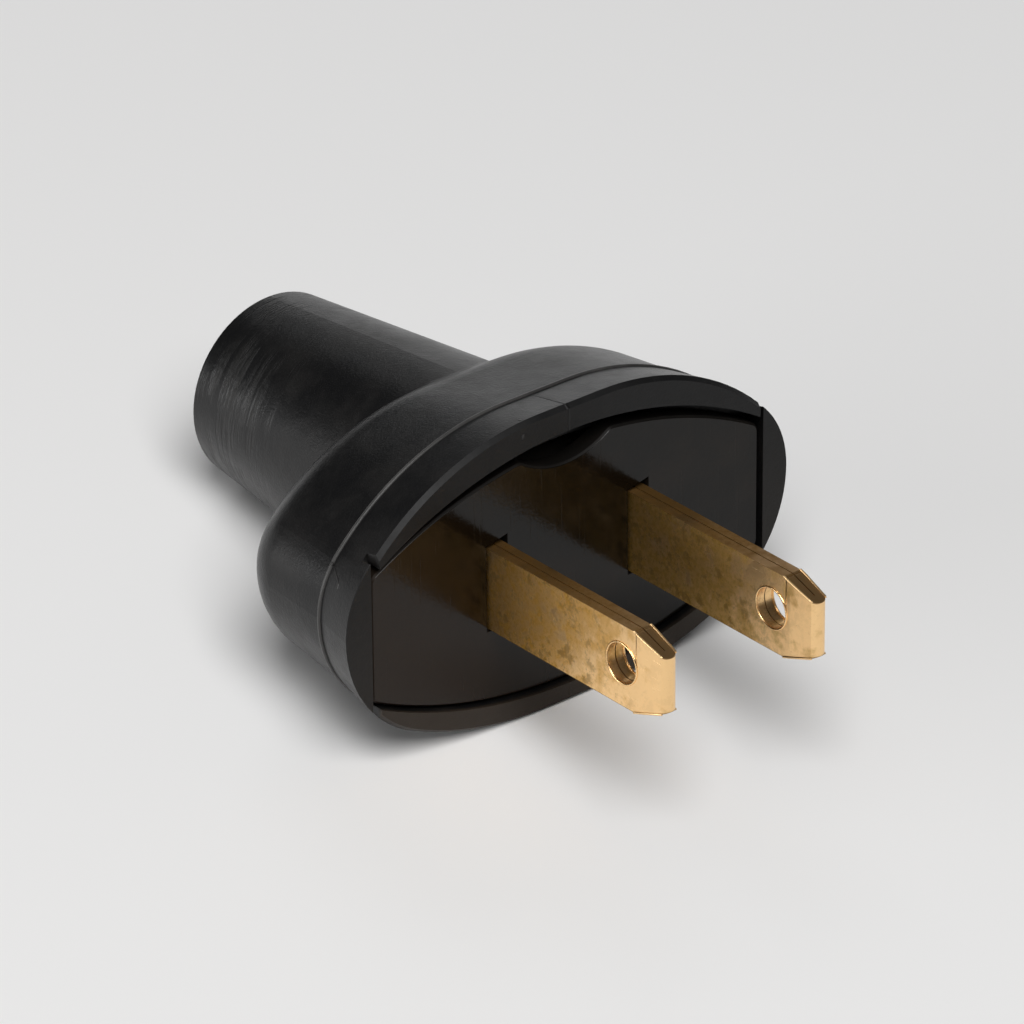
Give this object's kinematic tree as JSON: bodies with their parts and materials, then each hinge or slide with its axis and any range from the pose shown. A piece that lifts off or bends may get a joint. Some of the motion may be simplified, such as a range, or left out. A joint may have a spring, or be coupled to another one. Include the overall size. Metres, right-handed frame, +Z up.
{
  "type": "rubber electric plug",
  "caption": "Rubber electric plug with flat folded brass blades in a flared oval head, a lift-off cover plate over the terminals, and a round tapered neck with a cord hole",
  "frame": {"origin": "on the ground under the middle of the plug's width and length", "axes": "the plug lies on the lower edge of its rim and on the end of its neck, as it comes to rest. The blades point along -Y and a little upwards, the neck points along +Y, X runs across the two blades and Z is up"},
  "size_m": [0.0396, 0.0534, 0.0229],
  "materials": {
    "rubber": "satin black moulded rubber",
    "plate_fibre": "glossy black sheet",
    "core_plastic": "dull dark moulding",
    "blade_brass": "worn bare brass strip",
    "screw_brass": "turned brass"
  },
  "bodies": {
    "root": {"rubber_shell": "rubber", "face_plate": "plate_fibre", "terminal_core": "core_plastic", "blade_left": "blade_brass", "blade_right": "blade_brass", "terminal_screw_left": "screw_brass", "terminal_screw_right": "screw_brass"}
  },
  "joints": []
}
